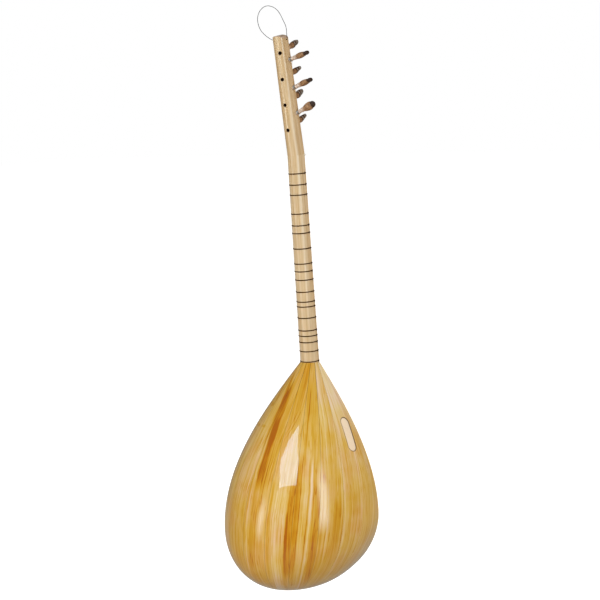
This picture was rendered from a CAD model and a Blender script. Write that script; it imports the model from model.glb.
import math

import bmesh
import bpy
from mathutils import Matrix, Vector


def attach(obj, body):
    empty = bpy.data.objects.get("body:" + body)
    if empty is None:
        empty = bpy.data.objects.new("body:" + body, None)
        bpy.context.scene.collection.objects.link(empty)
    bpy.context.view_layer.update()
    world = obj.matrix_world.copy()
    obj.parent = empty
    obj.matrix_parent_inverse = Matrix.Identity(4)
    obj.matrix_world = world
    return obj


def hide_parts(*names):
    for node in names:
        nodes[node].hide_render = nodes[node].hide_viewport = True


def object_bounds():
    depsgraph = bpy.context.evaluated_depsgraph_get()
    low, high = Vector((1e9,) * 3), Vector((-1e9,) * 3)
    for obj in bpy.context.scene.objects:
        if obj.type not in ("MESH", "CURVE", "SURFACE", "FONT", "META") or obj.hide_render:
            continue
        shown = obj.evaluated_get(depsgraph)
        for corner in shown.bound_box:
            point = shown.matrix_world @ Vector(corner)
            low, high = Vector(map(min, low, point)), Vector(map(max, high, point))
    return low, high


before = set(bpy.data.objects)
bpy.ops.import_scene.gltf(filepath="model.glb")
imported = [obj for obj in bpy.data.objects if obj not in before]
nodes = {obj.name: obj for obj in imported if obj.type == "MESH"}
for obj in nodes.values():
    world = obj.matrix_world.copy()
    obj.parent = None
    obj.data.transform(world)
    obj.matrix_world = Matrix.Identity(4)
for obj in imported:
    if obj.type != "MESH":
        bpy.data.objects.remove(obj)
cad_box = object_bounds()

# Metres, in the CAD's frame: the lute hangs by its wire loop, whose crown is the origin. The strings are
# on its -Y side, the bowl's back is towards +Y and the side pegs point to -X.
MM = 0.001

# --- driving dimensions, as in the CAD ------------------------------------------------------------------
JOINT = Vector((-14.8, -67.2, -656.6)) * MM
NECK_TILT, HEAD_TILT = 1.5, 7.0
NECK_LENGTH, HEAD_LENGTH = 389 * MM, 214 * MM
STRING_LENGTH = 700 * MM
JOINT_SECTION = (17.8 * MM, 6.2 * MM)
NUT_SECTION = (14.1 * MM, 11.1 * MM)
HEAD_END_SECTION = (12.4 * MM, 9.9 * MM)
HEAD_ARCH_RISE = 4.6 * MM
HEAD_ARCH = (HEAD_END_SECTION[0] ** 2 + HEAD_ARCH_RISE ** 2) / (2 * HEAD_ARCH_RISE)
FRONT_ROUND = 1.2 * MM
BOWL_LENGTH, TAIL_MEET = 418 * MM, 100 * MM
SEAM_STEP = 20.0
RIB_COUNT = 11
FRET_CENTS = [88, 142, 193, 292, 357, 401, 493, 588, 639, 697, 782, 856, 894, 985, 1092, 1141, 1199,
              1287, 1393]
FRET_LINE, FRET_WRAPS, FRET_SLACK = 0.6 * MM, 4, 0.04 * MM
FRONT_PEGS = [(-2.9, 191.5, 9.5), (-0.8, 144.5, 9), (0.4, 99.5, 12), (1.0, 54, 12)]
FRONT_PEG_SIDE_LEAN = 5.0
SIDE_PEGS = [(173.4, 15), (122.6, 18.5), (76.8, 22)]
SIDE_PEG_DEPTH = 6.5
PEG_TURN = [35, 60, 20, 50, 90, 80, 0]
PEG_RADIUS, PEG_TAPER = 3.5, 0.02
BORE_RIM = 0.5 * MM             # how far the darkened rim reaches past a bore
FRONT_SHAFT, SIDE_SHAFT = 16.0, 21.0
WINDING_START, WINDING_LENGTH, WINDING_RADIUS = 2.5, 4.0, 4.1
PEG_STRING = [0.22, 0.22, 0.5, 0.3, 0.3, 0.25, 0.5]
PLATE_AT = Vector((-100, 34, -124)) * MM
PLATE_ALONG = Vector((-0.448, 0.226, -0.865)).normalized()
PLATE_OUT = Vector((-0.882, 0.04, 0.469)).normalized()
PLATE_SIZE = (66 * MM, 21 * MM)
WIRE_DIAMETER, WIRE_LENGTH = 1.0 * MM, 171.6 * MM
WIRE_ROUTE = [(-24.5, -19.3, -62.0), (-30.0, -19.3, -62.0), (-29.0, -18.4, -54.5), (-30.2, -17.0, -39.5),
              (-26.0, -13.6, -27.0), (-21.6, -10.0, -13.6), (-14.5, -6.0, -4.0), (0.0, 0.0, 1.1),
              (13.5, 3.7, -8.7), (19.2, 3.5, -24.2), (16.4, -0.2, -42.0), (7.4, -5.2, -53.1),
              (2.8, -11.5, -58.6), (0.5, -19.3, -62.0), (-5.2, -19.3, -62.0)]

# --- camera, floor and light ----------------------------------------------------------------------------
CAMERA_AT = (-1.5389, 2.0847, -0.1517)
CAMERA_RIGHT = Vector((-0.8192, -0.5715, -0.0479))
CAMERA_UP = Vector((0.0448, -0.1471, 0.9881))
LENS, SENSOR = 85.4, 36.0
SHIFT_X = -0.0148
FLOOR_DROP = 0.3
BOWL_MIDDLE = JOINT + Vector((0, 0.08, -0.2))
# The window's outline on its panel, in metres from the panel's middle.
WINDOW_CORNERS = [(0.57, -0.39), (-0.38, -0.49), (-0.66, 0.10), (-0.46, 0.40), (-0.02, 0.60), (0.31, 0.16)]
# Name, place, (width, height), watts, colour, width of the soft edge, whether the gloss mirrors it, and its
# outline where it isn't the whole panel. The edge is a share of the panel, or metres inside an outline.
PANELS = [
    ("window_light", (-0.25, 1.40, 0.66), (1.36, 1.24), 37.0, (0.58, 0.88, 1.18), 0.02, True, WINDOW_CORNERS),
    ("side_light", (-1.90, 0.64, -0.32), (0.70, 2.2), 36.0, (0.75, 0.92, 1.05), 0.38, True),
    ("low_light", (0.75, 1.80, -0.60), (0.60, 1.6), 17.0, (0.80, 0.94, 1.05), 0.48, True),
    ("camera_fill", (-1.75, 1.5, -0.5), (1.6, 1.6), 26.0, (1.0, 0.84, 0.64), 0.3, False),
    ("left_fill", (1.1, 1.9, -0.2), (1.2, 1.6), 24.0, (1.0, 0.80, 0.56), 0.3, False),
    ("front_light", (-0.9, -2.2, 0.3), (1.6, 1.6), 42.0, (1.0, 0.95, 0.88), 0.3, False),
    ("front_fill", (1.8, -1.4, -0.4), (1.2, 1.6), 20.0, (1.0, 0.93, 0.84), 0.3, False),
]
# How bright the surroundings are as they light the lute, as its gloss mirrors them, and to the camera.
SURROUND, MIRRORED, SEEN = 0.45, 0.12, 1.0
SURROUND_COLOR = (1.0, 0.98, 0.95, 1)
FLOOR_REACH, FLOOR_COLOR, FLOOR_ROUGHNESS = 20.0, (0.38, 0.36, 0.33, 1), 0.9


def node(tree, kind, inputs=None, **settings):
    """A shader node, with its settings, and its inputs linked or set."""
    made = tree.nodes.new("ShaderNode" + kind)
    for name, value in settings.items():
        setattr(made, name, value)
    for key, value in (inputs or {}).items():
        if isinstance(value, bpy.types.NodeSocket):
            tree.links.new(value, made.inputs[key])
        else:
            made.inputs[key].default_value = value
    return made


def calc(tree, operation, first, second=0.0, third=0.0):
    return node(tree, "Math", {0: first, 1: second, 2: third}, operation=operation).outputs[0]


def smooth(tree, value, start, end, low=0.0, high=1.0):
    """value's way from start to end, eased, as low to high."""
    inputs = {"Value": value, 1: start, 2: end, 3: low, 4: high}
    return node(tree, "MapRange", inputs, interpolation_type="SMOOTHSTEP").outputs[0]


def link(thing):
    bpy.context.scene.collection.objects.link(thing)
    return thing


def add_camera():
    data = bpy.data.cameras.new("camera")
    data.lens = LENS
    data.sensor_width = SENSOR
    data.shift_x = SHIFT_X
    camera = link(bpy.data.objects.new("camera", data))
    back = CAMERA_RIGHT.cross(CAMERA_UP).normalized()
    up = back.cross(CAMERA_RIGHT).normalized()
    turn = Matrix((CAMERA_RIGHT.normalized(), up, back)).transposed()
    camera.matrix_world = Matrix.Translation(CAMERA_AT) @ turn.to_4x4()
    bpy.context.scene.camera = camera


def inside_outline(tree, across, up, corners, edge):
    """1 well inside the corners, which run clockwise, 0 outside, and eased over the edge's width."""
    share = 1.0
    for (x, y), (next_x, next_y) in zip(corners, corners[1:] + corners[:1]):
        length = math.hypot(next_x - x, next_y - y)
        inward = (-(next_y - y) / length, (next_x - x) / length)
        depth = calc(tree, "MULTIPLY_ADD", across, -inward[0], inward[0] * x + inward[1] * y)
        depth = calc(tree, "MULTIPLY_ADD", up, -inward[1], depth)
        share = calc(tree, "MULTIPLY", smooth(tree, depth, 0.0, edge), share)
    return share


def add_panel(name, place, size, watts, color, edge, glossy, outline=None):
    """An area light that faces the bowl and fades towards its edges, or those of its outline."""
    data = bpy.data.lights.new(name, "AREA")
    data.shape = "RECTANGLE"
    data.size, data.size_y = size
    data.energy = watts
    data.color = color
    data.use_nodes = True
    tree = data.node_tree
    parametric = node(tree, "SeparateXYZ", {0: node(tree, "NewGeometry").outputs["Parametric"]}).outputs
    if outline:
        across = calc(tree, "MULTIPLY_ADD", parametric[0], size[0], -size[0] / 2)
        up = calc(tree, "MULTIPLY_ADD", parametric[1], size[1], -size[1] / 2)
        fade = inside_outline(tree, across, up, outline, edge)
    else:
        fade = 1.0
        for value in (parametric[0], parametric[1]):
            far = calc(tree, "ABSOLUTE", calc(tree, "SUBTRACT", value, 0.5))
            fade = calc(tree, "MULTIPLY", smooth(tree, far, 0.5, 0.5 - edge), fade)
    tree.links.new(fade, tree.nodes["Emission"].inputs["Strength"])
    light = link(bpy.data.objects.new(name, data))
    light.location = place
    light.rotation_euler = (Vector(place) - BOWL_MIDDLE).to_track_quat("Z", "Y").to_euler()
    light.visible_glossy = glossy


def add_world():
    """Soft grey light from all round, white where the camera looks past the lute."""
    world = bpy.data.worlds.new("studio")
    bpy.context.scene.world = world
    world.use_nodes = True
    tree = world.node_tree
    tree.nodes.clear()
    around = node(tree, "Background", {"Color": SURROUND_COLOR, "Strength": SURROUND})
    mirrored = node(tree, "Background", {"Color": SURROUND_COLOR, "Strength": MIRRORED})
    behind = node(tree, "Background", {"Color": (1, 1, 1, 1), "Strength": SEEN})
    path = node(tree, "LightPath").outputs
    mixed = node(tree, "MixShader", {0: path["Is Glossy Ray"], 1: around.outputs[0], 2: mirrored.outputs[0]})
    mixed = node(tree, "MixShader", {0: path["Is Camera Ray"], 1: mixed.outputs[0], 2: behind.outputs[0]})
    node(tree, "OutputWorld", {0: mixed.outputs[0]})


def add_floor():
    """A pale matt floor, so brightly lit that the camera sees it white, and clear from below."""
    mesh = bpy.data.meshes.new("floor")
    level = cad_box[0].z - FLOOR_DROP
    corners = [(x * FLOOR_REACH, y * FLOOR_REACH, level) for x, y in ((-1, -1), (1, -1), (1, 1), (-1, 1))]
    mesh.from_pydata(corners, [], [(0, 1, 2, 3)])
    material = bpy.data.materials.new("floor")
    material.use_nodes = True
    tree = material.node_tree
    shader = tree.nodes["Principled BSDF"]
    shader.inputs["Base Color"].default_value = FLOOR_COLOR
    shader.inputs["Roughness"].default_value = FLOOR_ROUGHNESS
    shader.inputs["Emission Color"].default_value = (1, 1, 1, 1)
    seen = node(tree, "LightPath").outputs["Is Camera Ray"]
    tree.links.new(seen, shader.inputs["Emission Strength"])
    below = node(tree, "NewGeometry").outputs["Backfacing"]
    clear = node(tree, "BsdfTransparent").outputs[0]
    shown = node(tree, "MixShader", {0: below, 1: shader.outputs[0], 2: clear}).outputs[0]
    tree.links.new(shown, tree.nodes["Material Output"].inputs["Surface"])
    mesh.materials.append(material)
    link(bpy.data.objects.new("floor", mesh))


add_camera()
add_world()
add_floor()
for panel in PANELS:
    add_panel(*panel)
bpy.context.scene.view_settings.view_transform = "Standard"


# --- frames ---------------------------------------------------------------------------------------------
def leaning(origin, tilt):
    """Frame whose Z leans back by tilt degrees, whose X is the lute's X and whose Y points backwards."""
    return Matrix.Translation(origin) @ Matrix.Rotation(-math.radians(tilt), 4, "X")


NECK = leaning(JOINT, NECK_TILT)
NUT_POINT = NECK @ Vector((0, 0, NECK_LENGTH))
HEAD = leaning(NUT_POINT, NECK_TILT + HEAD_TILT)


def between(start, end, share):
    return tuple(a + (b - a) * share for a, b in zip(start, end))


def head_section(z):
    return between(NUT_SECTION, HEAD_END_SECTION, z / HEAD_LENGTH)


def peg_frame(x, y, z, side_lean, up_lean, turn, outwards):
    """Frame on the head's face: Z out along the peg, X across the broad side of the handle."""
    up = math.sin(math.radians(up_lean))
    across = math.sin(math.radians(side_lean)) * math.cos(math.radians(up_lean))
    out = math.cos(math.radians(side_lean)) * math.cos(math.radians(up_lean))
    local = Vector((across, -out, up)) if outwards == "front" else Vector((-out, across, up))
    axis = (HEAD.to_3x3() @ local).normalized()
    head_up = HEAD.to_3x3() @ Vector((0, 0, 1))
    upright = (head_up - axis * head_up.dot(axis)).normalized()
    broad = Matrix.Rotation(math.radians(turn), 3, axis) @ upright
    thin = axis.cross(broad)
    turned = Matrix((broad, thin, axis)).transposed().to_4x4()
    return Matrix.Translation(HEAD @ Vector((x, y, z))) @ turned


PEG_FRAMES = []
for (x, z, lean), turn in zip(FRONT_PEGS, PEG_TURN[:4]):
    PEG_FRAMES.append(peg_frame(x * MM, 0, z * MM, FRONT_PEG_SIDE_LEAN, lean, turn, "front"))
for (z, lean), turn in zip(SIDE_PEGS, PEG_TURN[4:]):
    face = -head_section(z * MM)[0]
    PEG_FRAMES.append(peg_frame(face, SIDE_PEG_DEPTH * MM, z * MM, 0, lean, turn, "side"))


# --- material helpers -----------------------------------------------------------------------------------
def new_material(name, **inputs):
    """A material and its tree; inputs are the shader's own values, with _ for a space."""
    material = bpy.data.materials.new(name)
    material.use_nodes = True
    shader = material.node_tree.nodes["Principled BSDF"]
    for key, value in inputs.items():
        shader.inputs[key.replace("_", " ")].default_value = value
    return material


def shader_of(material):
    return material.node_tree.nodes["Principled BSDF"]


def feed(material, socket, value):
    material.node_tree.links.new(value, shader_of(material).inputs[socket])


def noise(tree, x, y, seed, detail=2.0, roughness=0.55):
    vector = node(tree, "CombineXYZ", {0: x, 1: y, 2: seed}).outputs[0]
    inputs = {"Vector": vector, "Scale": 1.0, "Detail": detail, "Roughness": roughness}
    return node(tree, "TexNoise", inputs).outputs[0]


def ramp(tree, value, stops):
    made = node(tree, "ValToRGB", {0: value})
    elements = made.color_ramp.elements
    while len(elements) < len(stops):
        elements.new(0.5)
    for element, (position, color) in zip(elements, stops):
        element.position = position
        element.color = (*color, 1)
    return made.outputs[0]


def blend(tree, share, first, second, mode="MIX"):
    """Two colours mixed; either may be a socket or a plain colour."""
    made = node(tree, "Mix", {0: share}, data_type="RGBA", blend_type=mode)
    for key, value in ((6, first), (7, second)):
        if isinstance(value, bpy.types.NodeSocket):
            tree.links.new(value, made.inputs[key])
        else:
            made.inputs[key].default_value = (*value, 1)
    return made.outputs[2]


def bump(material, height, distance):
    """Raises the surface by height, from 0 to 1, times distance in metres."""
    tree = material.node_tree
    made = node(tree, "Bump", {"Strength": 1.0, "Distance": distance, "Height": height})
    feed(material, "Normal", made.outputs[0])


def wear(node_name, material):
    """Puts a material on a CAD node."""
    mesh = nodes[node_name].data
    mesh.materials.clear()
    mesh.materials.append(material)


# --- bowl: varnished staves -----------------------------------------------------------------------------
# Colours of the wood from its dark streaks to its palest bands.
STAVE_STOPS = [(0.0, (0.40, 0.105, 0.001)), (0.18, (0.53, 0.21, 0.003)), (0.36, (0.585, 0.295, 0.022)),
               (0.55, (0.635, 0.36, 0.078)), (0.75, (0.68, 0.435, 0.17)), (1.0, (0.75, 0.545, 0.34))]
SEAM_DARK, SEAM_PALE = (0.10, 0.035, 0.006), (0.84, 0.68, 0.44)
# For each rib: its tone near the neck, in the middle and at the tail, from 0 dark to 1 pale. They run into
# one another between the TONE_LEVELS, in metres down the bowl.
RIB_TONES = [
    (0.60, 0.55, 0.52), (0.58, 0.56, 0.50), (0.56, 0.60, 0.52), (0.55, 0.62, 0.50), (0.50, 0.62, 0.47),
    (0.45, 0.52, 0.48), (0.36, 0.55, 0.48), (0.42, 0.54, 0.44), (0.72, 0.58, 0.44), (1.0, 0.66, 0.52),
    (1.0, 0.66, 0.56),
]
TONE_LEVELS = (0.03, 0.15, 0.30)
# Marked streaks: rib, degrees from its middle at the streak's two ends, half width in degrees, from and to
# in millimetres down the bowl, and how much paler or, below 0, darker it is.
STREAKS = [
    (2, -3, -2, 2.5, 120, 380, 0.12), (2, 4, 4, 1.5, 60, 300, -0.14), (3, 5, 4, 2.0, 100, 350, -0.12),
    (3, -4, -5, 1.2, 60, 330, 0.12), (4, -9, 6, 3.2, 12, 60, -0.25), (4, 6, 5, 1.5, 130, 330, 0.10),
    (5, -5, 9, 4.2, 16, 66, -0.34), (5, 8.0, 11.5, 3.8, 34, 125, -0.44),
    (5, 7.5, 7.2, 1.3, 128, 205, 0.16), (5, 6.6, 7, 0.4, 165, 240, -0.20),
    (5, -3, -2, 1.0, 150, 330, 0.10), (5, 2, 4, 3.5, 260, 390, -0.10),
    (6, -9.6, -4.0, 4.8, 28, 118, -0.44), (6, -4.2, -1.5, 3.6, 96, 192, -0.50),
    (6, -4.8, -4.6, 0.6, 138, 182, -0.35), (6, 2.8, 3.2, 0.35, 130, 205, -0.30),
    (6, 6.8, 7.2, 0.35, 125, 200, -0.26), (6, 5.5, 6, 4.0, 60, 190, -0.08),
    (6, -7, -6.6, 0.8, 200, 340, 0.20), (6, -1.5, -1.5, 2.2, 205, 330, -0.10),
    (6, 1.0, 1.5, 0.5, 220, 380, -0.14), (7, 4.9, -5, 0.6, 76, 112, -0.28),
    (7, 1.5, -7, 0.5, 72, 108, -0.22), (7, -0.8, -0.6, 5.6, 195, 400, 0.26),
    (7, -5.1, -5, 0.3, 190, 390, -0.22), (7, -3.2, -3, 0.3, 200, 370, -0.18),
    (7, -0.2, 0, 0.3, 190, 400, -0.20), (7, 2.4, 2.4, 0.3, 210, 380, -0.20),
    (7, 8.2, 7.6, 3.1, 178, 352, -0.36), (7, 6.4, 6.2, 0.8, 240, 306, -0.30),
    (7, -7.8, -7.6, 0.9, 190, 330, -0.14), (8, -8.2, -8.2, 2.6, 150, 345, -0.26),
    (8, -3, -3.6, 0.7, 40, 84, -0.45), (8, -4.2, -5, 0.9, 78, 160, -0.26),
    (8, -6.1, -6.2, 0.35, 130, 310, -0.26), (8, 2.4, 1.4, 0.9, 150, 390, 0.32),
    (8, -1.8, -2.2, 1.6, 135, 350, 0.16), (8, 0.2, -0.2, 0.4, 150, 360, -0.18),
    (8, 7.4, 7.8, 2.5, 195, 375, -0.20), (8, 4.4, 4.2, 0.5, 110, 340, -0.16),
    (9, -2, -1.6, 1.5, 105, 172, -0.14), (9, -4, -3.4, 0.5, 70, 320, 0.16),
    (9, 1.5, 2.5, 0.7, 42, 110, 0.18), (9, 4.8, 5.2, 4.0, 226, 300, -0.14),
    (9, 8.0, 8.2, 0.7, 90, 310, 0.18), (9, -8, -7.8, 0.5, 100, 300, -0.16),
    (9, 3.0, 3.4, 0.4, 120, 340, -0.14), (10, 1.6, 2, 4.6, 222, 256, -0.14),
    (10, -8.8, -8.6, 0.8, 115, 360, 0.16), (10, 8, 8.2, 0.8, 140, 300, 0.16),
    (10, -4, -4.4, 0.4, 60, 330, -0.12), (10, 3.2, 3.4, 0.5, 90, 360, -0.10),
    (11, 2, 3, 0.9, 90, 340, 0.14), (11, 6, 7, 0.5, 60, 330, -0.10),
]
# Small knots: rib, degrees from its middle, millimetres down, half width and half height in millimetres.
KNOTS = [(4, 3.0, 72, 15.0, 3.0), (4, -3.5, 108, 14.0, 2.4), (5, -8, 106, 11.0, 2.0), (3, 4.0, 92, 10.0, 2.4)]
KNOT_DEPTH = 0.26
SEAM_HALF_WIDTH = 0.5 * MM
RIM_RIB_MIDDLE = -12.0
STAVE_BEND = (0.22, 0.24)       # where the staves bend most, down the bowl, and the radius they bend to


def stave_coordinates(tree, number):
    """Degrees and metres across a rib, metres down the bowl and round its curve, and from its near seam."""
    middle = SEAM_STEP * (number - 1.5)
    side = 1 if middle <= 90 else -1
    middle = middle if side > 0 else 180 - middle
    rim_rib = middle < 0
    middle = RIM_RIB_MIDDLE if rim_rib else middle
    place = node(tree, "TexCoord").outputs["Object"]
    local = node(tree, "VectorMath", {0: place, 1: JOINT}, operation="SUBTRACT").outputs[0]
    x, y, z = node(tree, "SeparateXYZ", {0: local}).outputs
    x = calc(tree, "MULTIPLY", x, side)
    down = calc(tree, "MULTIPLY", z, -1)
    deep = calc(tree, "MULTIPLY_ADD", z, TAIL_MEET / BOWL_LENGTH, y)
    angle = calc(tree, "ARCTAN2", deep, x)
    out = calc(tree, "SQRT", calc(tree, "MULTIPLY_ADD", x, x, calc(tree, "MULTIPLY", deep, deep)))
    off = calc(tree, "MULTIPLY", calc(tree, "SUBTRACT", angle, math.radians(middle)), side)
    degrees = calc(tree, "MULTIPLY", off, math.degrees(1))
    across = calc(tree, "MULTIPLY", off, out)
    centre, radius = STAVE_BEND
    bend = calc(tree, "ARCTAN2", out, calc(tree, "SUBTRACT", down, centre))
    along = calc(tree, "MULTIPLY", bend, -radius)
    if rim_rib:
        gap = calc(tree, "MULTIPLY", angle, -1)
    else:
        gap = calc(tree, "SUBTRACT", math.radians(SEAM_STEP / 2), calc(tree, "ABSOLUTE", off))
    return degrees, across, down, along, calc(tree, "MULTIPLY", gap, out)


def plate_distance(tree):
    """Distance outside the oblong plate's outline, measured in its own plane."""
    place = node(tree, "TexCoord").outputs["Object"]
    local = node(tree, "VectorMath", {0: place, 1: JOINT + PLATE_AT}, operation="SUBTRACT").outputs[0]
    across_axis = PLATE_OUT.cross(PLATE_ALONG)
    along, across = (node(tree, "VectorMath", {0: local, 1: axis}, operation="DOT_PRODUCT").outputs["Value"]
                     for axis in (PLATE_ALONG, across_axis))
    straight = (PLATE_SIZE[0] - PLATE_SIZE[1]) / 2
    past = calc(tree, "MAXIMUM", calc(tree, "SUBTRACT", calc(tree, "ABSOLUTE", along), straight), 0.0)
    squares = calc(tree, "MULTIPLY_ADD", past, past, calc(tree, "MULTIPLY", across, across))
    return calc(tree, "SUBTRACT", calc(tree, "SQRT", squares), PLATE_SIZE[1] / 2)


# Grain: width across, length along, both in metres, amount and detail.
STAVE_GRAINS = [(0.012, 0.9, 0.22, 1.0), (0.005, 0.30, 0.36, 2.0), (0.0026, 0.18, 0.56, 2.0),
                (0.0012, 0.10, 0.48, 2.0), (0.0005, 0.05, 0.28, 2.0), (0.030, 0.05, 0.28, 2.0)]
PORES = (0.0026, 0.06, -0.26)   # fine dark lines: width, length and how dark
PORE_EDGE = (0.58, 0.70)        # where in their noise the pores begin and are at their darkest
WAVER_LENGTH, WAVER_WIDTH, WAVER_TURN = 0.12, 0.006, 2.5   # the grain's wander, in metres and in degrees
SWIRL = (0.004, 0.002)          # across and down, the unevenness of a knot's edge
KNOT_EDGE = (1.7, 0.3)          # from a knot's rim to its heart, as shares of its half size
CLOUD = (0.035, 0.05)           # across and down, the broad tints of the wood
CLOUD_TINTS = [(0.35, (1.0, 0.94, 1.0)), (0.5, (1.0, 1.0, 1.0)), (0.65, (1.0, 1.0, 0.80))]
RIPPLE, RIPPLE_BUMP = (0.018, 0.05), 0.00012   # the varnish's unevenness
SEAM_FADE = (0.0, 0.12, 0.95, 0.55)            # from and to down the bowl, and the seams' strength at each
PLATE_RIM = (1.6 * MM, 0.2 * MM, 0.0, 0.85)    # the dark line on the staves round the plate
PALE_SEAM_RIBS = (1, RIB_COUNT - 1, RIB_COUNT)
STREAK_BODY = (1.3, 0.5)        # a streak's faded and full half width, as shares of the stated one
STREAK_FADE = 0.02              # the length over which a streak begins and ends, at most
NOT_ZERO = 0.0001               # keeps a division by degrees away from 0


def add_streaks(tree, number, tone, place, down):
    """The rib's own streaks on top of its tone; place is degrees across."""
    for rib, start, end, half, first, last, amount in STREAKS:
        if rib == number:
            first, last = first * MM, last * MM
            drift = (end - start) / (last - first)
            centre = calc(tree, "MULTIPLY_ADD", down, drift, start - first * drift)
            away = calc(tree, "ABSOLUTE", calc(tree, "SUBTRACT", place, centre))
            body = smooth(tree, away, half * STREAK_BODY[0], half * STREAK_BODY[1])
            fade = min(STREAK_FADE, (last - first) / 3)
            begins = smooth(tree, down, first - fade / 2, first + fade)
            ends = smooth(tree, down, last + fade, last - fade / 2)
            shape = calc(tree, "MULTIPLY", body, calc(tree, "MULTIPLY", begins, ends))
            tone = calc(tree, "MULTIPLY_ADD", shape, amount, tone)
    return tone


def add_knots(tree, number, tone, degrees, across, down, swirl):
    """Soft dark eyes with an uneven edge."""
    for rib, turn, level, half_width, half_height in KNOTS:
        if rib == number:
            share = calc(tree, "DIVIDE", turn, calc(tree, "ADD", degrees, NOT_ZERO))
            aside = calc(tree, "MULTIPLY", across, calc(tree, "SUBTRACT", 1.0, share))
            x = calc(tree, "DIVIDE", aside, half_width * MM)
            y = calc(tree, "DIVIDE", calc(tree, "SUBTRACT", down, level * MM), half_height * MM)
            squares = calc(tree, "MULTIPLY_ADD", x, x, calc(tree, "MULTIPLY", y, y))
            away = calc(tree, "ADD", calc(tree, "SQRT", squares), calc(tree, "SUBTRACT", swirl, 0.5))
            tone = calc(tree, "MULTIPLY_ADD", smooth(tree, away, *KNOT_EDGE), -KNOT_DEPTH, tone)
    return tone


def stave_material(number):
    material = new_material(f"stave_{number}", Roughness=0.34, Coat_Weight=1.0, Coat_Roughness=0.03,
                            Specular_IOR_Level=0.1)
    tree = material.node_tree
    degrees, across, down, along, gap = stave_coordinates(tree, number)
    seed = number * 7.31
    waver = calc(tree, "SUBTRACT", noise(tree, calc(tree, "DIVIDE", along, WAVER_LENGTH), 0.0, seed), 0.5)
    place = calc(tree, "MULTIPLY_ADD", waver, WAVER_WIDTH, across)
    near_neck, in_middle, at_tail = RIB_TONES[number - 1]
    tone = smooth(tree, down, TONE_LEVELS[0], TONE_LEVELS[1], near_neck, in_middle)
    later = smooth(tree, down, TONE_LEVELS[1], TONE_LEVELS[2], 0.0, at_tail - in_middle)
    tone = calc(tree, "ADD", tone, later)
    for width, length, amount, detail in STAVE_GRAINS:
        x = calc(tree, "DIVIDE", place, width)
        y = calc(tree, "DIVIDE", along, length)
        grain = calc(tree, "SUBTRACT", noise(tree, x, y, seed + width * 1000, detail), 0.5)
        tone = calc(tree, "MULTIPLY_ADD", grain, amount, tone)
    x = calc(tree, "DIVIDE", place, PORES[0])
    pores = noise(tree, x, calc(tree, "DIVIDE", along, PORES[1]), seed + 5.0)
    tone = calc(tree, "MULTIPLY_ADD", smooth(tree, pores, *PORE_EDGE), PORES[2], tone)
    turned = calc(tree, "MULTIPLY_ADD", waver, WAVER_TURN, degrees)
    tone = add_streaks(tree, number, tone, turned, down)
    x = calc(tree, "DIVIDE", across, SWIRL[0])
    swirl = noise(tree, x, calc(tree, "DIVIDE", down, SWIRL[1]), seed, 2.0)
    tone = add_knots(tree, number, tone, degrees, across, down, swirl)
    color = ramp(tree, tone, STAVE_STOPS)
    x = calc(tree, "DIVIDE", across, CLOUD[0])
    cloud = noise(tree, x, calc(tree, "DIVIDE", down, CLOUD[1]), seed + 3.0, 1.0)
    color = blend(tree, 1.0, color, ramp(tree, cloud, CLOUD_TINTS), "MULTIPLY")
    seam_color = SEAM_PALE if number in PALE_SEAM_RIBS else SEAM_DARK
    seam = smooth(tree, gap, SEAM_HALF_WIDTH, SEAM_HALF_WIDTH * 0.3)
    seam = calc(tree, "MULTIPLY", seam, smooth(tree, down, *SEAM_FADE))
    color = blend(tree, seam, color, seam_color)
    if number >= RIB_COUNT - 1:
        rim = smooth(tree, plate_distance(tree), *PLATE_RIM)
        color = blend(tree, rim, color, SEAM_DARK)
    feed(material, "Base Color", color)
    x = calc(tree, "DIVIDE", across, RIPPLE[0])
    ripple = noise(tree, x, calc(tree, "DIVIDE", along, RIPPLE[1]), seed, 1.0)
    bump(material, ripple, RIPPLE_BUMP)
    return material


for number in range(1, RIB_COUNT + 1):
    wear(f"rib_{number}", stave_material(number))


# --- plain wood along an axis ---------------------------------------------------------------------------
GRAIN_SHIFT = 3.7               # keeps the layers of grain from repeating one another


def wood(name, frame_matrix, stops, grains, seed, **inputs):
    """Wood whose grain runs along the frame's Z. grains: width across, length along, amount, detail."""
    material = new_material(name, **inputs)
    tree = material.node_tree
    place = node(tree, "TexCoord").outputs["Object"]
    back = frame_matrix.inverted()
    angles = back.to_euler()
    local = node(tree, "Mapping", {"Vector": place, "Location": back.to_translation(),
                                   "Rotation": angles}).outputs[0]
    x, y, z = node(tree, "SeparateXYZ", {0: local}).outputs
    tone = None
    for index, (width, length, amount, detail) in enumerate(grains):
        scaled = {0: calc(tree, "DIVIDE", x, width),
                  1: calc(tree, "DIVIDE", y, width),
                  2: calc(tree, "DIVIDE", z, length)}
        vector = node(tree, "CombineXYZ", scaled).outputs[0]
        apart = (seed, index * GRAIN_SHIFT, seed * 0.5)
        shifted = node(tree, "VectorMath", {0: vector, 1: apart}, operation="ADD").outputs[0]
        noise_inputs = {"Vector": shifted, "Scale": 1.0, "Detail": detail, "Roughness": 0.55}
        grain = calc(tree, "SUBTRACT", node(tree, "TexNoise", noise_inputs).outputs[0], 0.5)
        tone = calc(tree, "MULTIPLY_ADD", grain, amount, 0.5 if tone is None else tone)
    color = ramp(tree, tone, stops)
    feed(material, "Base Color", color)
    return material, tone, color, (x, y, z)


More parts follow.
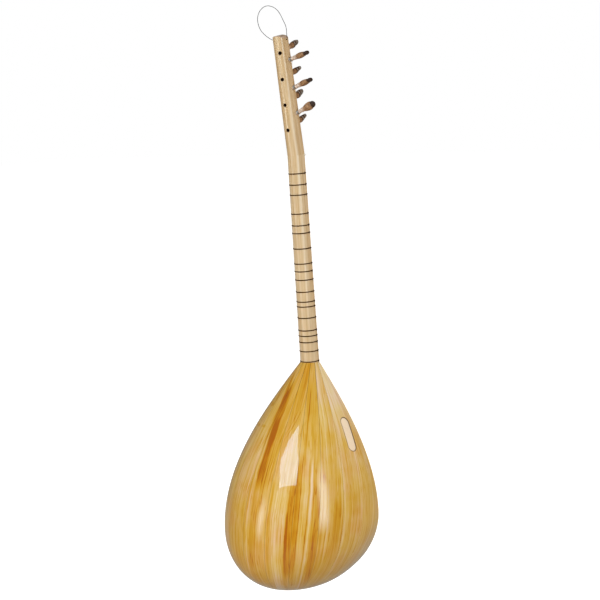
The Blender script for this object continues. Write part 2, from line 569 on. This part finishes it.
NECK_STOPS = [(0.0, (0.40, 0.21, 0.075)), (0.3, (0.55, 0.34, 0.155)), (0.55, (0.65, 0.445, 0.245)),
              (0.8, (0.73, 0.535, 0.325)), (1.0, (0.80, 0.63, 0.42))]
NECK_GRAINS = [(0.006, 0.4, 0.8, 1.0), (0.0022, 0.25, 0.8, 2.0), (0.0009, 0.10, 0.5, 2.0),
               (0.0004, 0.04, 0.2, 2.0)]
HEAD_STOPS = [(place + 0.10, color) for place, color in NECK_STOPS[:-1]] + [NECK_STOPS[-1]]
BORE_DARK = (0.035, 0.014, 0.006)
SAWN_EDGE = (-1.3 * MM, -0.5 * MM, 0.0, 0.85)   # where the tint begins and is full, and its share at each
RINGS = (0.012, 0.0012)         # the growth rings' length and width on the sawn end
RING_STOPS = [(0.3, (0.40, 0.23, 0.13)), (0.7, (0.60, 0.39, 0.26))]
HOLLOWS, HOLLOW_BUMP = (0.005, 0.06), 0.00008   # the planed surface's unevenness


def darken_bores(tree, color):
    """Dark walls and rims where the pegs' bores run through the head."""
    place = node(tree, "TexCoord").outputs["Object"]
    for peg in PEG_FRAMES:
        axis = peg.to_3x3() @ Vector((0, 0, 1))
        local = node(tree, "VectorMath", {0: place, 1: peg.to_translation()}, operation="SUBTRACT").outputs[0]
        along = node(tree, "VectorMath", {0: local, 1: axis}, operation="DOT_PRODUCT").outputs["Value"]
        aside = node(tree, "VectorMath", {0: local, 1: axis}, operation="CROSS_PRODUCT").outputs[0]
        radius = node(tree, "VectorMath", {0: aside}, operation="LENGTH").outputs["Value"]
        wall = calc(tree, "MULTIPLY_ADD", along, PEG_TAPER, PEG_RADIUS * MM)
        inside = smooth(tree, calc(tree, "SUBTRACT", radius, wall), BORE_RIM, BORE_RIM * 0.4)
        color = blend(tree, inside, color, BORE_DARK)
    return color


def sawn_end(tree, color, local):
    """The head's arched end is darker and pinkish, with the growth rings crossing it."""
    x, y, z = local
    up = calc(tree, "SUBTRACT", z, HEAD_LENGTH + HEAD_ARCH_RISE - HEAD_ARCH)
    up = calc(tree, "MAXIMUM", up, 0.0)
    far = calc(tree, "SQRT", calc(tree, "MULTIPLY_ADD", x, x, calc(tree, "MULTIPLY", up, up)))
    sawn = smooth(tree, calc(tree, "SUBTRACT", far, HEAD_ARCH), *SAWN_EDGE)
    rings = noise(tree, calc(tree, "DIVIDE", x, RINGS[0]), calc(tree, "DIVIDE", y, RINGS[1]), 1.0)
    return blend(tree, sawn, color, ramp(tree, rings, RING_STOPS))


for name, frame_matrix, seed, stops in (("neck", NECK, 2.0, NECK_STOPS), ("head", HEAD, 9.0, HEAD_STOPS)):
    material, tone, color, local = wood(name, frame_matrix, stops, NECK_GRAINS, seed,
                                        Roughness=0.38, Coat_Weight=0.3, Coat_Roughness=0.2)
    tree = material.node_tree
    if name == "head":
        feed(material, "Base Color", darken_bores(tree, sawn_end(tree, color, local)))
    x = calc(tree, "DIVIDE", local[0], HOLLOWS[0])
    hollows = noise(tree, x, calc(tree, "DIVIDE", local[2], HOLLOWS[1]), seed + 2.0, 1.0)
    bump(material, hollows, HOLLOW_BUMP)
    wear(name, material)

SPRUCE_STOPS = [(0.0, (0.46, 0.22, 0.05)), (0.35, (0.68, 0.44, 0.18)), (0.6, (0.78, 0.57, 0.28)),
                (1.0, (0.82, 0.64, 0.37))]
SPRUCE_GRAINS = [(0.0009, 0.5, 0.55, 1.0), (0.02, 0.6, 0.35, 1.0), (0.05, 0.03, 0.1, 2.0)]
SPRUCE_BUMP = 0.00003
for name, seed in (("soundboard_left", 1.0), ("soundboard_right", 1.6)):
    material, tone = wood(name, leaning(JOINT, 0), SPRUCE_STOPS, SPRUCE_GRAINS, seed,
                          Roughness=0.3, Coat_Weight=0.6, Coat_Roughness=0.1)[:2]
    bump(material, tone, SPRUCE_BUMP)
    wear(name, material)

PLATE_STOPS = [(0.0, (0.58, 0.39, 0.24)), (0.45, (0.82, 0.60, 0.40)), (1.0, (0.90, 0.72, 0.52))]
PLATE_GRAINS = [(0.003, 0.1, 0.5, 2.0), (0.0007, 0.02, 0.4, 2.0)]
PLATE_GRAIN_TURN = 62           # degrees from the plate's length to its grain
PLATE_EDGE = (-1.5 * MM, -0.2 * MM, 0.0, 0.8)   # the dark line just inside the plate's outline
PLATE_EDGE_COLOR = (0.12, 0.06, 0.03)
PLATE_BUMP = 0.0001
plate_frame = Matrix((PLATE_ALONG, PLATE_OUT.cross(PLATE_ALONG), PLATE_OUT)).transposed().to_4x4()
grain_turn = Matrix.Rotation(math.radians(PLATE_GRAIN_TURN), 4, "Z")
grain_turn = grain_turn @ Matrix.Rotation(math.radians(90), 4, "Y")
grain_frame = Matrix.Translation(JOINT + PLATE_AT) @ plate_frame @ grain_turn
material, tone, color = wood("plate", grain_frame, PLATE_STOPS, PLATE_GRAINS, 4.0, Roughness=0.62)[:3]
tree = material.node_tree
edge = smooth(tree, plate_distance(tree), *PLATE_EDGE)
feed(material, "Base Color", blend(tree, edge, color, PLATE_EDGE_COLOR))
bump(material, tone, PLATE_BUMP)
wear("side_plate", material)

INNER_STOPS = [(0.0, (0.36, 0.22, 0.11)), (0.5, (0.55, 0.38, 0.2)), (1.0, (0.68, 0.5, 0.3))]
HARD_STOPS = [(0.0, (0.10, 0.035, 0.014)), (0.5, (0.22, 0.09, 0.035)), (1.0, (0.36, 0.17, 0.07))]
HARD_GRAINS = [(0.003, 0.06, 0.7, 2.0), (0.0006, 0.02, 0.4, 2.0)]
HARD_BUMP = 0.00005
for name in ("neck_block", "tail_block"):
    wear(name, wood(name, leaning(JOINT, 0), INNER_STOPS, NECK_GRAINS, 5.0, Roughness=0.7)[0])
sideways = Matrix.Translation(JOINT) @ Matrix.Rotation(math.radians(90), 4, "Y")
for name in ("bridge", "string_holder", "tail_clasp"):
    material, tone = wood(name, sideways, HARD_STOPS, HARD_GRAINS, 6.0,
                          Roughness=0.35, Coat_Weight=0.2, Coat_Roughness=0.2)[:2]
    bump(material, tone, HARD_BUMP)
    wear(name, material)



BONE_SPECKS = (0.004, 0.0008)
BONE_STOPS = [(0.3, (0.62, 0.52, 0.36)), (0.6, (0.80, 0.74, 0.60))]
BONE_BUMP = 0.00003


def bone_material():
    material = new_material("bone", Roughness=0.35, Subsurface_Weight=0.15, Subsurface_Scale=0.002)
    tree = material.node_tree
    x, y, z = node(tree, "SeparateXYZ", {0: node(tree, "TexCoord").outputs["Object"]}).outputs
    x = calc(tree, "DIVIDE", x, BONE_SPECKS[0])
    specks = noise(tree, x, calc(tree, "DIVIDE", z, BONE_SPECKS[1]), 2.0, 3.0)
    feed(material, "Base Color", ramp(tree, specks, BONE_STOPS))
    bump(material, specks, BONE_BUMP)
    return material


bone = bone_material()
wear("nut", bone)
wear("lower_saddle", bone)


# --- metal ----------------------------------------------------------------------------------------------
STEEL_MOTTLE, STEEL_DARK = (0.004, 0.006), 0.72


def steel_material(name, shade, roughness=0.42):
    """Mottled metal, from its shade down to the darker share of it."""
    material = new_material(name, Metallic=1.0, Roughness=roughness)
    tree = material.node_tree
    x, y, z = node(tree, "SeparateXYZ", {0: node(tree, "TexCoord").outputs["Object"]}).outputs
    x = calc(tree, "DIVIDE", x, STEEL_MOTTLE[0])
    mottle = noise(tree, x, calc(tree, "DIVIDE", z, STEEL_MOTTLE[1]), 3.0, 3.0)
    dark = tuple(part * STEEL_DARK for part in shade)
    feed(material, "Base Color", ramp(tree, mottle, [(0.3, dark), (0.7, shade)]))
    return material


wire_steel = steel_material("wire_steel", (0.012, 0.012, 0.013), 0.5)
string_steel = steel_material("string_steel", (0.40, 0.40, 0.40))
winding_steel = steel_material("winding_steel", (0.60, 0.50, 0.40), 0.6)
for name in ("strings_treble", "strings_middle", "strings_bass"):
    wear(name, string_steel)


def new_piece(name, mesh_or_curve, body, slot, *replaced):
    piece = link(bpy.data.objects.new(name, mesh_or_curve))
    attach(piece, body)
    if replaced:
        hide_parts(*replaced)
    return piece


def add_wire():
    curve = bpy.data.curves.new("hanging_wire_loop", "CURVE")
    curve.dimensions = "3D"
    curve.bevel_depth = WIRE_DIAMETER / 2
    curve.bevel_resolution = 3
    spline = curve.splines.new("NURBS")
    spline.points.add(len(WIRE_ROUTE) - 1)
    for point, place in zip(spline.points, WIRE_ROUTE):
        point.co = (*(Vector(place) * MM), 1)
    spline.order_u = 3
    spline.use_endpoint_u = True
    spline.resolution_u = 16
    curve.materials.append(wire_steel)
    piece = new_piece("hanging_wire_loop", curve, "lute", "steel", "hanging_wire")


add_wire()


# --- mesh helpers ---------------------------------------------------------------------------------------
def rings_mesh(name, rings, closed_ends=True):
    """A skin over rings of points, all with the same count, with a fan over each end."""
    mesh = bmesh.new()
    rows = [[mesh.verts.new(point) for point in ring] for ring in rings]
    for low, high in zip(rows, rows[1:]):
        for i in range(len(low)):
            j = (i + 1) % len(low)
            mesh.faces.new((low[i], low[j], high[j], high[i]))
    if closed_ends:
        mesh.faces.new(list(reversed(rows[0])))
        mesh.faces.new(rows[-1])
    bmesh.ops.recalc_face_normals(mesh, faces=mesh.faces)
    made = bpy.data.meshes.new(name)
    mesh.to_mesh(made)
    mesh.free()
    for polygon in made.polygons:
        polygon.use_smooth = True
    return made


def tube_rings(points, radius, sides):
    """Rings of a round tube along points, without twist."""
    rings = []
    tangent = (points[1] - points[0]).normalized()
    normal = tangent.orthogonal().normalized()
    for i, point in enumerate(points):
        ahead = points[min(i + 1, len(points) - 1)]
        behind = points[max(i - 1, 0)]
        tangent = (ahead - behind).normalized()
        normal = (normal - tangent * normal.dot(tangent)).normalized()
        other = tangent.cross(normal)
        ring = []
        for k in range(sides):
            turn = math.tau * k / sides
            ring.append(point + (normal * math.cos(turn) + other * math.sin(turn)) * radius)
        rings.append(ring)
    return rings


def join_meshes(name, meshes):
    """Several meshes as one."""
    joined = bmesh.new()
    for mesh in meshes:
        joined.from_mesh(mesh)
        bpy.data.meshes.remove(mesh)
    made = bpy.data.meshes.new(name)
    joined.to_mesh(made)
    joined.free()
    return made


# --- tied frets -----------------------------------------------------------------------------------------
FLAT_STEPS, CORNER_STEPS, BACK_STEPS = 5, 5, 24


def u_outline(section, grow):
    """Points round the neck's section, grown, from the middle of the flat front; X across, Y back."""
    half, straight = section
    wide = half + grow
    corner = FRONT_ROUND + grow
    points = []
    for step in range(FLAT_STEPS):
        points.append((step / FLAT_STEPS * (wide - corner), -grow))
    for step in range(CORNER_STEPS + 1):
        turn = math.pi / 2 * step / CORNER_STEPS
        points.append((wide - corner + corner * math.sin(turn), -grow + corner * (1 - math.cos(turn))))
    points.append((wide, straight * 0.6))
    other_side = [(-x, y) for x, y in reversed(points[1:])]
    for step in range(BACK_STEPS + 1):
        turn = math.pi * step / BACK_STEPS
        points.append((wide * math.cos(turn), straight + wide * math.sin(turn)))
    return points + other_side


NYLON_MOTTLE = (0.005, 0.003)
NYLON_STOPS = [(0.3, (0.022, 0.004, 0.0)), (0.7, (0.048, 0.012, 0.0005))]


def nylon_material():
    material = new_material("nylon", Roughness=0.6, IOR=1.2, Specular_IOR_Level=0.0)
    tree = material.node_tree
    x, y, z = node(tree, "SeparateXYZ", {0: node(tree, "TexCoord").outputs["Object"]}).outputs
    x = calc(tree, "DIVIDE", x, NYLON_MOTTLE[0])
    mottle = noise(tree, x, calc(tree, "DIVIDE", z, NYLON_MOTTLE[1]), 1.0)
    feed(material, "Base Color", ramp(tree, mottle, NYLON_STOPS))
    return material


nylon = nylon_material()
LINE_SIDES = 8
# The knot, in widths of the line.
KNOT_LINE, END_LINE = 0.42, 0.4                 # radius of its coil's line and of its two cut ends
KNOT_REACH, END_REACH = 0.35, 0.1               # how far past the wraps the coil is, and the ends' start
KNOT_DEEP, KNOT_LONG = 0.45, 2.2                # the coil's radius away from the neck, and its length
KNOT_OUT = 0.95                 # its middle's distance from the neck, so that it stays clear of the wood
KNOT_TURNS, KNOT_STEPS = 2, 32
KNOT_BACK = 0.55                # how far back the knot sits, as a share of the neck's straight side
END_LENGTH = 1.8 * MM
WRAP_LINE = 0.98                # keeps one turn just clear of the next


def add_fret(number, cents):
    """Turns of line round the neck, at the pitch in cents above the open string, and their knot."""
    middle = NECK_LENGTH - STRING_LENGTH * (1 - 2 ** (-cents / 1200))
    low = middle - FRET_WRAPS * FRET_LINE / 2
    section = between(JOINT_SECTION, NUT_SECTION, low / NECK_LENGTH)
    outline = u_outline(section, FRET_SLACK + FRET_LINE / 2)
    count = len(outline)
    path = []
    for i in range(count * FRET_WRAPS + 1):
        x, y = outline[i % count]
        rise = low + FRET_LINE / 2 + (FRET_WRAPS - 1) * FRET_LINE * i / (count * FRET_WRAPS)
        path.append(NECK @ Vector((x, y, rise)))
    wraps = rings_mesh("wraps", tube_rings(path, FRET_LINE / 2 * WRAP_LINE, LINE_SIDES))
    # the knot: a coil over the wraps on the side towards -X, with two cut ends
    side = -(section[0] + FRET_SLACK + FRET_LINE * KNOT_OUT)
    back = section[1] * KNOT_BACK
    knot = []
    for i in range(KNOT_STEPS + 1):
        turn = math.tau * KNOT_TURNS * i / KNOT_STEPS
        along = math.sin(turn) * FRET_LINE * (FRET_WRAPS / 2 + KNOT_REACH)
        out = math.cos(turn) * FRET_LINE * KNOT_DEEP
        y = back + (i / KNOT_STEPS - 0.5) * FRET_LINE * KNOT_LONG
        knot.append(NECK @ Vector((side - out, y, middle + along)))
    tied = rings_mesh("knot", tube_rings(knot, FRET_LINE * KNOT_LINE, LINE_SIDES))
    ends = []
    for lean in (-1, 1):
        start_at = middle + lean * FRET_LINE * (FRET_WRAPS / 2 + END_REACH)
        start = Vector((side - FRET_LINE * 0.6, back, start_at))
        finish = start + Vector((-FRET_LINE * 0.5, lean * 0.4, lean * 1.6)).normalized() * END_LENGTH
        points = [NECK @ start.lerp(finish, share) for share in (0, 0.5, 1)]
        ends.append(rings_mesh("end", tube_rings(points, FRET_LINE * END_LINE, LINE_SIDES)))
    mesh = join_meshes(f"tied_fret_{number}", [wraps, tied, *ends])
    mesh.materials.append(nylon)
    new_piece(f"tied_fret_{number}", mesh, f"fret_{number}", "nylon", f"fret_{number}")


for number, cents in enumerate(FRET_CENTS, start=1):
    add_fret(number, cents)


# --- pegs -----------------------------------------------------------------------------------------------
# Distance from the head's face, half breadth and half thickness, in millimetres.
PEG_PROFILE = [(11.0, 3.72, 3.72), (12.6, 3.75, 3.75), (13.2, 4.35, 4.35), (14.6, 4.45, 4.45),
               (15.2, 3.85, 3.85), (17.0, 4.2, 4.1), (21.0, 5.6, 5.1), (26.0, 7.2, 5.6), (31.0, 8.0, 5.0),
               (35.0, 7.6, 4.1), (37.6, 6.6, 3.6), (38.2, 5.9, 3.2), (38.9, 6.4, 3.7), (41.0, 6.1, 3.9),
               (41.6, 5.4, 3.4), (42.2, 5.6, 3.7), (44.0, 4.4, 3.2), (45.2, 2.6, 2.0), (45.6, 0.9, 0.7)]
PEG_SIDES = 20

SHAFT_STOPS = [(0.3, (0.44, 0.29, 0.20)), (0.7, (0.68, 0.50, 0.38))]
HANDLE_STOPS = [(0.3, (0.15, 0.06, 0.022)), (0.7, (0.42, 0.22, 0.10))]
TIP_STOPS = [(0.3, (0.014, 0.006, 0.003)), (0.7, (0.070, 0.034, 0.018))]
BAND_COLOR = (0.56, 0.48, 0.41)
BAND_EDGE, BAND_SHARE = 0.5, 0.75
BLOTCH = 7 * MM                 # how far the grain shifts the borders of the peg's colours
PEG_GRAIN = (900, 90)           # the grain's frequency across and along, per metre
PEG_BUMP = 0.00006
# For each wood: where the light bands lie on the handle, from and to; where the handle's brown begins and is
# full, and where the tip's dark begins, in millimetres from the head's face; and how strong that dark is.
PEG_BANDS = {"side_peg_wood": [], "front_peg_wood": [(26.0, 27.5), (33.0, 35.0), (38.4, 40.0), (43.4, 45.8)]}
PEG_BORDERS = {"side_peg_wood": (15, 23, 36.5, 1.0), "front_peg_wood": (9, 14, 22, 0.85)}
INSIDE_BORE = (-12 * MM, -14 * MM)              # where the shaft darkens inside its bore


def peg_material(name):
    """Pale shaft, brown handle and dark tip, by the peg's own length, with grain along it."""
    material = new_material(name, Roughness=0.5, Specular_IOR_Level=0.25)
    tree = material.node_tree
    place = node(tree, "Attribute", attribute_name="peg_place").outputs["Vector"]
    x, y, z = node(tree, "SeparateXYZ", {0: place}).outputs
    scaled = {0: calc(tree, "MULTIPLY", x, PEG_GRAIN[0]),
              1: calc(tree, "MULTIPLY", y, PEG_GRAIN[0]),
              2: calc(tree, "MULTIPLY", z, PEG_GRAIN[1])}
    vector = node(tree, "CombineXYZ", scaled).outputs[0]
    grain = node(tree, "TexNoise", {"Vector": vector, "Scale": 1.0, "Detail": 3.0}).outputs[0]
    blotch = calc(tree, "MULTIPLY_ADD", calc(tree, "SUBTRACT", grain, 0.5), BLOTCH, z)
    handle_from, handle_to, tip_from, tip_dark = PEG_BORDERS[name]
    handle = smooth(tree, blotch, handle_from * MM, handle_to * MM)
    color = blend(tree, handle, ramp(tree, grain, SHAFT_STOPS), ramp(tree, grain, HANDLE_STOPS))
    dark = smooth(tree, blotch, tip_from * MM, (tip_from + 2) * MM, 0.0, tip_dark)
    color = blend(tree, dark, color, ramp(tree, grain, TIP_STOPS))
    for start, end in PEG_BANDS[name]:
        begins = smooth(tree, z, start * MM, (start + BAND_EDGE) * MM)
        ends = smooth(tree, z, end * MM, (end - BAND_EDGE) * MM)
        band = calc(tree, "MULTIPLY", calc(tree, "MULTIPLY", begins, ends), BAND_SHARE)
        color = blend(tree, band, color, BAND_COLOR)
    color = blend(tree, smooth(tree, z, *INSIDE_BORE), color, BORE_DARK)
    feed(material, "Base Color", color)
    bump(material, grain, PEG_BUMP)
    return material


peg_woods = {name: peg_material(name) for name in PEG_BANDS}


def add_peg(number, peg, inside):
    """A carved peg with its own place stored on its points, so that its colours turn with it."""
    profile = [(-inside, PEG_RADIUS - PEG_TAPER * inside, PEG_RADIUS - PEG_TAPER * inside)]
    for u in (-inside + 0.5, 0.0, 5.0):
        profile.append((u, PEG_RADIUS + PEG_TAPER * u, PEG_RADIUS + PEG_TAPER * u))
    profile += PEG_PROFILE
    rings, places = [], []
    for u, breadth, thickness in profile:
        ring = []
        for k in range(PEG_SIDES):
            turn = math.tau * k / PEG_SIDES
            local = Vector((breadth * math.cos(turn), thickness * math.sin(turn), u)) * MM
            ring.append(peg @ local)
            places.append(local)
        rings.append(ring)
    mesh = rings_mesh(f"carved_peg_{number}", rings)
    attribute = mesh.attributes.new("peg_place", "FLOAT_VECTOR", "POINT")
    for value, local in zip(attribute.data, places):
        value.vector = local
    mesh.materials.append(peg_woods["front_peg_wood" if number <= len(FRONT_PEGS) else "side_peg_wood"])
    piece = new_piece(f"carved_peg_{number}", mesh, f"peg_{number}", "peg_wood", f"peg_{number}")
    rounding = piece.modifiers.new("rounding", "SUBSURF")
    rounding.levels = rounding.render_levels = 2


WINDING_PITCH, WINDING_STEPS, WINDING_SIDES = 1.08, 20, 6   # pitch in string widths, points in a turn
LAYER_RADIUS, LAYER_END, LAYER_INSET, LAYER_SIDES = 3.6, 6.4, 0.1, 32


def add_winding(number, peg, diameter):
    """The string's turns round the peg over an inner layer."""
    pitch = diameter * WINDING_PITCH
    turns = WINDING_LENGTH / pitch
    steps = int(turns * WINDING_STEPS)
    centre = WINDING_RADIUS - diameter / 2
    path = []
    for i in range(steps + 1):
        turn = math.tau * turns * i / steps
        u = WINDING_START + diameter / 2 + (WINDING_LENGTH - diameter) * i / steps
        path.append(peg @ (Vector((centre * math.cos(turn), centre * math.sin(turn), u)) * MM))
    coil = rings_mesh("coil", tube_rings(path, diameter / 2 * MM, WINDING_SIDES))
    layer = []
    low = WINDING_START + LAYER_INSET
    for u, radius in ((low, LAYER_RADIUS), (low, centre), (LAYER_END, centre), (LAYER_END, LAYER_RADIUS)):
        ring = []
        for k in range(LAYER_SIDES):
            turn = math.tau * k / LAYER_SIDES
            ring.append(peg @ (Vector((radius * math.cos(turn), radius * math.sin(turn), u)) * MM))
        layer.append(ring)
    mesh = join_meshes(f"wound_string_{number}", [coil, rings_mesh("layer", layer)])
    mesh.materials.append(winding_steel)
    new_piece(f"wound_string_{number}", mesh, f"peg_{number}", "steel", f"string_winding_{number}")


for number, peg in enumerate(PEG_FRAMES, start=1):
    add_peg(number, peg, FRONT_SHAFT if number <= len(FRONT_PEGS) else SIDE_SHAFT)
    add_winding(number, peg, PEG_STRING[number - 1])


# --- softened edges of the small CAD parts ----------------------------------------------------------------
SOFT_EDGE = 0.35 * MM
for name in ("bridge", "string_holder", "nut", "tail_clasp"):
    bevel = nodes[name].modifiers.new("softened edges", "BEVEL")
    bevel.width = SOFT_EDGE
    bevel.segments = 2
    bevel.limit_method = "ANGLE"
